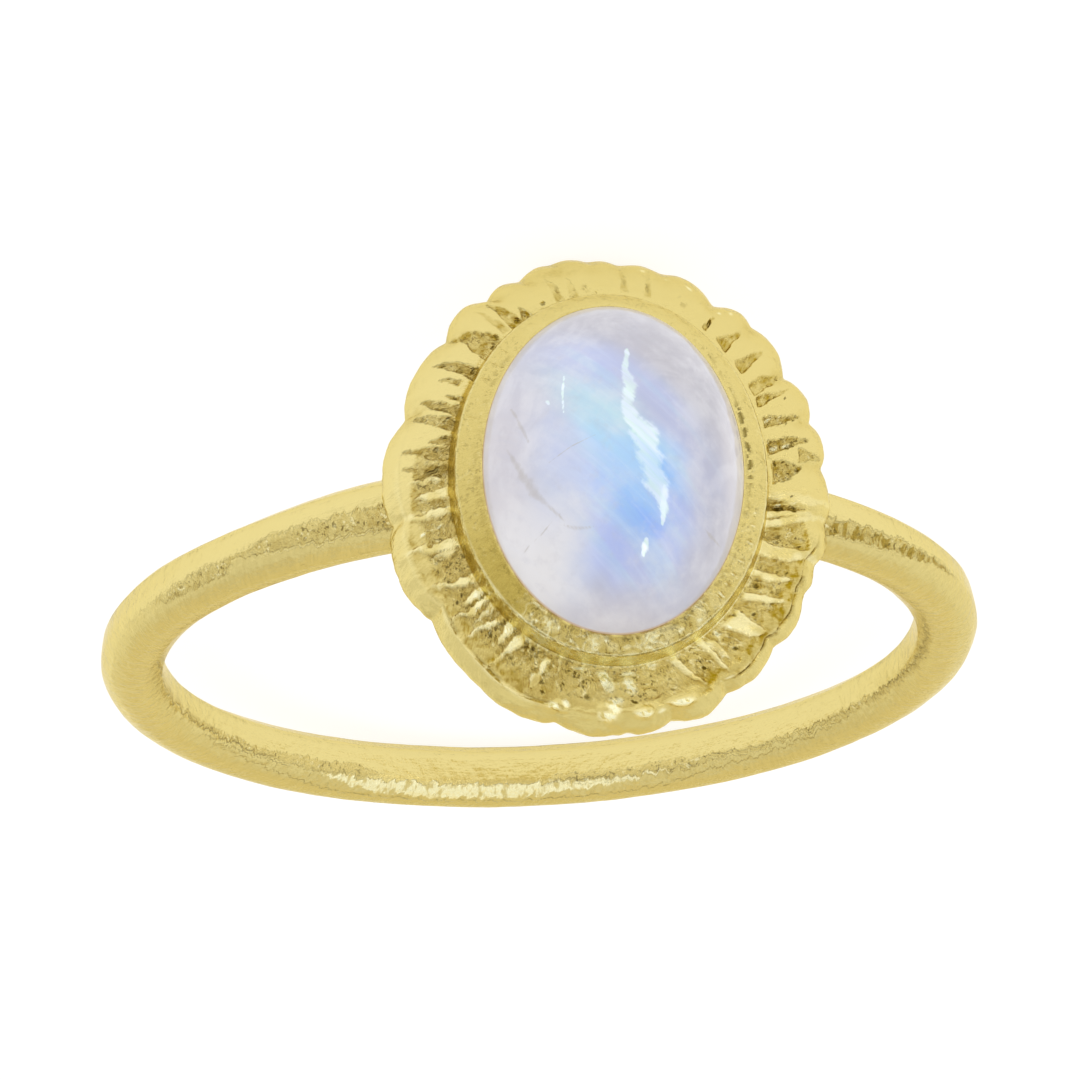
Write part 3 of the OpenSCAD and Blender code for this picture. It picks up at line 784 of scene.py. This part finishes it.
# The gold's colour, with painted light: deeper with painted shade on the cut floors and slopes,
# on the band's side facet and gouges and on the matt lip, dark in pits and creases as painted shade,
# and pale with painted highlights on bright spots, specks, crests and hammer marks
cut_shade = times(put_range(cut_lines, 0.38, 0.56, 1.25, 0.75), painted_shade_part)
gouge_shade = times(put_range(crossed, 0.38, 0.6, 1.0, 0.1), put_range(round_ring, 0.8, 0.84, 0.7, 3.4))
painted_shade_share = add_shares(
    times(cut_shade, put_range(dents, 0.36, 0.58, 1.7, 0.55)),
    (side_facet, put_range(slanting, 0.3, 0.7, 0.15, 0.5)), (pitted, 0.4), (gouged_band, gouge_shade))
painted_shade_share = put_math("MINIMUM", painted_shade_share, 2.7)
colour = put_mix(painted_shade_share, (0.745, 0.62, 0.236, 1), (0.61, 0.482, 0.15, 1))
colour.node.clamp_factor = False
colour = put_mix(times(lip_matt_and_shade, 0.75), colour, (0.47, 0.355, 0.065, 1))
# Painted shade in pits and creases
speck_shade_share = add_shares(times(pit_mask, 0.85), (creased, 0.6), (scored, 0.36))
speck_shade_share = put_math("ADD", pit_shade_part, speck_shade_share, clamp=True)
colour = put_mix(speck_shade_share, colour, (0.15, 0.1, 0.003, 1))
# Painted highlights in pale gold, on the spots, crests, specks, hammer marks and a little over the whole
# band
glint_tone = put_mix(put_range(painted_highlight_part, 0.6, 0.92), (1.0, 0.945, 0.57, 1), (1.0, 0.98, 0.66, 1))
hammer_glints = times(glaring, put_range(crossed, 0.34, 0.52))
glint_share = add_shares(times(crested, 0.35), (highlight_speck_mask, 0.7), (hammer_glints, 0.95), (band_part, 0.1))
glint_share = put_math("ADD", glint_share, painted_highlight_part, clamp=True)
colour = put_mix(glint_share, colour, glint_tone)
set_inputs(shader, {
    "Base Color": colour, "Metallic": 1.0, "Specular Tint": (0.95, 0.88, 0.62, 1), "Roughness": roughness,
    "Normal": put_bump(height, distance=0.00005, strength=1.0)})
mount.data.materials.append(gold)
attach(mount, "root")
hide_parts("ring_mount")

# The stone: an oval moonstone cut as a plain dome with a flat back, polished, milky and full of fine veils.
# A blue sheen, painted into its colour, runs slantwise across the dome, as the light caught in its layers
# shows.
stone_columns = 480
stone = bmesh.new()
profile = []
for t in np.radians(np.concatenate([[90], np.linspace(89.2, 2, 108), [0.6]])):
    h = stone_h * math.sin(t)
    profile.append(stone.verts.new((float(dome_share(h)), 0, h + stone_back)))
# The flat back, from its edge to its middle
for x in (0.995, 0.6, 0):
    profile.append(stone.verts.new((x, 0, stone_back)))
edges = [stone.edges.new(pair) for pair in zip(profile, profile[1:])]
bmesh.ops.spin(stone, geom=profile + edges, cent=(0, 0, 0), axis=(0, 0, 1), angle=2 * math.pi,
               steps=stone_columns, use_merge=True)
bmesh.ops.remove_doubles(stone, verts=stone.verts[:], dist=2 * same_point)
bmesh.ops.scale(stone, vec=(stone_half_w, stone_half_l, 1), verts=stone.verts[:])
slant = Matrix.Rotation(math.radians(stone_turn), 3, "Z")
bmesh.ops.rotate(stone, cent=(0, 0, 0), matrix=slant, verts=stone.verts[:])
bmesh.ops.recalc_face_normals(stone, faces=stone.faces[:])

# Soft clouds in the stone, from white milk through grey to the blue of the sheen. The blue is painted
# sheen, and the greys and whites also hold painted shade and light. Each colour, as red, green and blue of
# 0 to 255,
# has its clouds: x, u, half width, half length, slant in degrees, strength
CLOUDS = (
    ((250, 250, 255), ((1.6, 2.45, 0.62, 0.9, 0, 1.8), (2.2, 1.8, 0.5, 0.7, 0, 1.4))),
    ((232, 228, 231), ((-2.4, 1.0, 0.2, 0.8, 0, 1.4),)),
    ((222, 219, 228), ((2.2, 0.45, 0.9, 1.9, 0, 1), (-2.4, -0.6, 0.18, 1.3, 8, 0.8),
                       (0.75, 3.4, 1.2, 0.42, 0, 1.3))),
    ((208, 208, 223), ((1.87, -1.63, 0.75, 0.75, 0, 1), (-1.6, 2.4, 0.7, 0.8, 0, 1))),
    ((196, 195, 206), ((0.3, -2.9, 1.4, 0.5, 0, 1), (-1.85, 0.7, 0.5, 1.4, 0, 1),
                       (-1.5, -1.5, 0.8, 1.0, 0, 1), (0.6, 2.95, 0.2, 0.35, 20, 0.7))),
    ((186, 194, 230), ((-1.3, 0.1, 0.45, 1.3, -45, 1.3), (-1.5, 1.3, 0.36, 0.7, 0, 1))),
    ((184, 197, 239), ((0.85, -1.75, 0.6, 0.9, -45, 1.4), (-0.21, 2.65, 0.85, 0.55, 0, 1.4),
                       (-0.9, -0.9, 0.3, 0.8, -45, 1.2))),
    ((198, 213, 249), ((0.85, 0.98, 0.6, 0.9, -45, 1.2), (1.02, 2.45, 0.35, 0.8, 0, 1.2),
                       (1.58, 0.2, 0.42, 1.1, 0, 1.2))),
    ((222, 228, 250), ((1.66, 1.5, 0.4, 0.5, 0, 1),)),
    ((184, 224, 240), ((0.6, -0.7, 0.42, 1.0, -45, 1.8),)),
    ((168, 212, 254), ((0.15, 0.45, 0.36, 0.9, -45, 2), (-0.95, 0.3, 0.25, 0.5, -45, 1))),
    ((171, 191, 249), ((0.42, 2.35, 0.4, 0.6, 0, 2), (-0.6, 2.2, 0.5, 0.36, 0, 1.8),
                       (-1.0, 1.6, 0.3, 0.5, -45, 1.4))),
    ((148, 194, 255), ((0.02, 1.5, 0.34, 0.75, -45, 3),)),
    ((135, 192, 255), ((-0.75, 0.72, 0.2, 0.6, -45, 3),)),
    ((132, 173, 255), ((-0.32, 1.95, 0.24, 0.4, -45, 2.4),)),
)

# A bright flash painted on the dome as a painted highlight: x, u, half width, in runs from end to end
FLASHES = (
    ((-0.16, -2.08, 0.05), (-0.05, -1.54, 0.09), (-0.14, -1.12, 0.16), (-0.01, -0.7, 0.12),
     (-0.12, -0.28, 0.18), (-0.36, -0.04, 0.3), (-0.39, 0.33, 0.29), (-0.46, 0.66, 0.26),
     (-0.55, 1.05, 0.28), (-0.68, 1.3, 0.16), (-0.73, 1.61, 0.1), (-0.68, 1.9, 0.03)),
    ((-0.33, 2.2, 0.05), (-0.31, 2.36, 0.09), (-0.28, 2.5, 0.04)),
    ((1.22, -1.5, 0.02), (1.29, -1.1, 0.03), (1.31, -0.61, 0.02)),
    ((1.6, -0.95, 0.04), (1.58, -0.88, 0.03)),
)

# Cracks and veils that end in the stone: x, u, half width, in runs from end to end
CRACKS = (
    ((2.42, -0.1, 0.02), (2.2, 0.5, 0.07), (1.98, 0.98, 0.1), (1.7, 1.36, 0.05), (1.36, 1.75, 0.02)),
    ((2.28, -1.05, 0.02), (2.12, -0.46, 0.04), (2.02, -0.1, 0.02)),
    ((1.38, 1.82, 0.02), (1.15, 1.92, 0.07), (0.8, 1.94, 0.02)),
    ((2.2, 2.15, 0.01), (1.8, 1.88, 0.02), (1.46, 1.56, 0.01)),
    ((1.7, 0.5, 0.01), (1.2, 0.2, 0.015), (0.7, 0.0, 0.01)),
    ((-1.68, 1.8, 0.02), (-1.85, 1.9, 0.05), (-2.1, 1.98, 0.02)),
)


def in_light(value):
    """A colour value of 0 to 255 as the light it stands for, from 0 to 1."""
    v = np.asarray(value, float) / 255
    return np.where(v <= 0.04045, v / 12.92, ((v + 0.055) / 1.055) ** 2.4)


def near_run(at, run):
    """How near points are to a run of short lines: 1 on it, 0 at its half width, below 0 outside."""
    best = np.full(len(at), -9.0)
    for (x0, u0, w0), (x1, u1, w1) in zip(run, run[1:]):
        start, step = np.array([x0, u0]), np.array([x1 - x0, u1 - u0])
        t = np.clip(((at - start) @ step) / (step @ step), 0, 1)
        gap = np.linalg.norm(at - start - t[:, None] * step, axis=1)
        best = np.maximum(best, 1 - gap / (w0 + (w1 - w0) * t))
    return best


at = np.array([v.co.xy for v in stone.verts])
shade = 0.15 * in_light([214, 211, 219]) + 0 * at[:, :1]
weight = np.full((len(at), 1), 0.15)
for tone, clouds in CLOUDS:
    for x, u, half_x, half_u, slant_deg, strength in clouds:
        c, s = math.cos(math.radians(slant_deg)), math.sin(math.radians(slant_deg))
        across = ((at[:, 0] - x) * c - (at[:, 1] - u) * s) / half_x
        along = ((at[:, 0] - x) * s + (at[:, 1] - u) * c) / half_u
        w = strength * np.exp(-(across ** 2 + along ** 2))[:, None]
        shade = shade + w * in_light(tone)
        weight = weight + w
# Darkened by what the lamps and the material's painted glow add to it
shade = 0.77 * shade / weight
# The blue of the sheen, as painted sheen, is made a little brighter still
sheen = ease(1.6 * (shade[:, 2] / shade[:, 0] - 1.15))
shade = shade * (1 + 0.14 * sheen[:, None])
flash_near = np.max([near_run(at, run) for run in FLASHES], axis=0)
crack_near = np.max([near_run(at, run) for run in CRACKS], axis=0)
cloud_layer = stone.verts.layers.float_color.new("cloud")
for v, tone in zip(stone.verts, shade):
    v[cloud_layer] = (*tone, 1)
heights = np.array([v.co.z for v in stone.verts])
stone_marks = {
    "flash": np.maximum(flash_near, -1.5), "crack": np.maximum(crack_near, -1.5), "sheen": sheen,
    "edge": heights - lip_top}
for name, values in stone_marks.items():
    layer = stone.verts.layers.float.new(name)
    for v, value in zip(stone.verts, values.tolist()):
        v[layer] = value
smooth_faces(stone)
stone.transform(ring_place)
cabochon = to_object("moonstone_cabochon", stone)

milk, tree, shader = new_material("moonstone_sheen")
# Millimetres in the ring's own axes
mm = put(tree, "ShaderNodeMapping", {
    "Vector": put(tree, "ShaderNodeTexCoord").outputs["Object"], "Location": hole["pos_m"],
    "Rotation": ring_turn.to_euler(), "Scale": (0.001, 0.001, 0.001)}, vector_type="TEXTURE").outputs[0]
layers = put_mapping(mm, (0.14, 1.5, 1), 45)
streaks = put_noise(layers, 1.0, 3, 0.55)
bands = put_noise(layers, 0.38, 2, 0.5)
haze = put_noise(mm, 0.9, 5, 0.6)
veils = put_noise(mm, 0.8, 6, 0.6, 0.5)
wisps = put_noise(mm, 3.5, 4, 0.6)
ragged = put_noise(mm, 5, 4, 0.6)
flash_mask, crack_mask, sheen_mask, above_lip = (
    put_mark(tree, name) for name in ("flash", "crack", "sheen", "edge"))
outside = put_math("MULTIPLY_ADD", sheen_mask, -0.8, 1)
streak_share = put_math("MULTIPLY_ADD", sheen_mask, 0.07, 0.03)
tear = put_range(ragged, 0.3, 0.7, -0.2, 0.2)
tear = put_math("ADD", tear, put_range(streaks, 0.3, 0.7, -0.2, 0.2))
torn_edge = put_math("ADD", flash_mask, tear)
flash_share = times(put_range(torn_edge, -0.2, 0.45), put_range(bands, 0.35, 0.65, 0.5, 0.8))
flash_tone = put_mix(put_range(streaks, 0.4, 0.62), (0.70, 0.86, 0.82, 1), (0.78, 0.87, 0.98, 1))
split = put_math("ADD", crack_mask, put_range(wisps, 0.3, 0.7, -0.5, 0.3))
# Haze, wisps, veils, glassy places, the painted sheen and its streaks, the painted flash, the cracks,
# and a painted warm reflection of the gold along the stone's edge
colour = put_mark(tree, "cloud", "Color")
for share, tone in (
        (put_range(haze, 0.45, 0.7, 0, 0.35), (0.72, 0.72, 0.76, 1)),
        (put_range(wisps, 0.5, 0.75, 0, 0.16), (0.42, 0.41, 0.48, 1)),
        (times(put_range(veils, 0.5, 0.66, 0, 0.22), outside), (0.75, 0.75, 0.79, 1)),
        (times(put_range(veils, 0.46, 0.34, 0, 0.16), outside), (0.44, 0.44, 0.54, 1)),
        (times(sheen_mask, put_range(bands, 0.45, 0.65, 0, 0.13)), (0.42, 0.76, 0.78, 1)),
        (times(put_range(streaks, 0.5, 0.68), streak_share), (0.72, 0.83, 0.95, 1)),
        (times(put_range(streaks, 0.48, 0.3), streak_share), (0.30, 0.40, 0.68, 1)),
        (flash_share, flash_tone),
        (put_range(split, -0.4, 0.9, 0, 0.45), (0.40, 0.37, 0.35, 1)),
        (put_range(above_lip, 0.045, 0.015, 0, 0.6), (0.62, 0.42, 0.22, 1))):
    colour = put_mix(share, colour, tone)
# The stone's colour also glows a little, as a painted glow
set_inputs(shader, {
    "Base Color": colour, "Emission Color": colour, "Emission Strength": 0.18, "Roughness": 0.06,
    "IOR": 1.52, "Subsurface Weight": 0.3, "Subsurface Radius": (1, 1, 1), "Subsurface Scale": 0.0003,
    "Normal": put_bump(haze, distance=0.00002, strength=0.5)})
cabochon.data.materials.append(milk)
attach(cabochon, "root")
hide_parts("moonstone")

# The floor: one plain white sheet that the ring lies on.
sheet = bmesh.new()
bmesh.ops.create_grid(sheet, x_segments=1, y_segments=1, size=3)
floor = to_object("floor", sheet)
paper, tree, shader = new_material("light_table")
set_inputs(shader, {
    "Base Color": (0.33, 0.33, 0.35, 1), "Roughness": 0.9, "Specular IOR Level": 0.1,
    "Emission Color": (1, 1, 1, 1), "Emission Strength": 0.8})
floor.data.materials.append(paper)

# The light: a white tent round the ring, with a warmer and darker roof over it,
# a tall soft strip and a small soft lamp that show in the stone.
world = bpy.data.worlds.new("tent")
bpy.context.scene.world = world
world.use_nodes = True
tree = world.node_tree
sky = put(tree, "ShaderNodeTexCoord").outputs["Generated"]
tent_colour = (1.0, 1.0, 1.0, 1)
# Each darker cloth of the roof: the way to it in the ring's axes, where its soft edge is, and its colour
for way_to_it, from_dot, to_dot, cloth in (
        ((0, 0.62, 0.78), 0.78, 0.92, (0.80, 0.74, 0.61, 1)),
        ((-0.1, 0.75, -0.66), 0.76, 0.88, (0.93, 0.86, 0.69, 1))):
    middle_of_it = (ring_turn.to_3x3() @ Vector(way_to_it)).normalized()
    toward = put(tree, "ShaderNodeVectorMath", {0: sky, 1: middle_of_it}, operation="DOT_PRODUCT")
    over_it = put_range(toward.outputs["Value"], from_dot, to_dot)
    tent_colour = put_mix(over_it, tent_colour, cloth)
folds = put_range(put_noise(sky, 3.0, 2, 0.5), 0.34, 0.5, 0.5, 0)
tent_colour = put_mix(folds, tent_colour, (0.32, 0.26, 0.12, 1))
set_inputs(tree.nodes["Background"], {"Color": tent_colour, "Strength": 1.0})


lamp_aim, lamp_distance = Vector((0, 0, 12)), 0.5


def softbox(name, direction, wide, tall, radiance):
    """An area light that faces the head from a direction of the ring's own axes."""
    lamp = bpy.data.lights.new(name, "AREA")
    lamp.shape = "RECTANGLE"
    lamp.size, lamp.size_y, lamp.energy = wide, tall, radiance * math.pi * wide * tall
    thing = bpy.data.objects.new(name, lamp)
    bpy.context.scene.collection.objects.link(thing)
    way_there = (ring_turn.to_3x3() @ Vector(direction)).normalized()
    sideways = way_there.cross(along_finger).normalized()
    turned = Matrix((sideways, way_there.cross(sideways), way_there)).transposed()
    place = ring_place @ lamp_aim + way_there * lamp_distance
    thing.matrix_world = Matrix.Translation(place) @ turned.to_4x4()
    thing.visible_camera = False


softbox("strip", (-0.63, 0.14, 0.76), 0.05, 0.13, 2.6)
softbox("small_lamp", (-0.40, 0.60, 0.69), 0.03, 0.07, 5)

# The camera: the photograph's view of the head, with the ring lying down.
camera_data = bpy.data.cameras.new("camera")
camera_data.lens = 224.614
camera_data.sensor_width = 36
camera_data.clip_start = 0.01
camera_data.clip_end = 20
camera = bpy.data.objects.new("camera", camera_data)
bpy.context.scene.collection.objects.link(camera)
# Its right, its up and the way back from the ring, in the ring's axes
camera_ways = Matrix((
    (-0.9885, 0.0545, 0.1408), (-0.0012, -0.9353, 0.3538), (0.1510, 0.3496, 0.9246))).transposed()
camera.rotation_mode = "QUATERNION"
camera.rotation_quaternion = (ring_turn.to_3x3() @ camera_ways).to_quaternion()
camera.location = ring_place @ Vector((23.36, 51.81, 144.02))
bpy.context.scene.camera = camera
bpy.context.scene.view_settings.view_transform = "Standard"
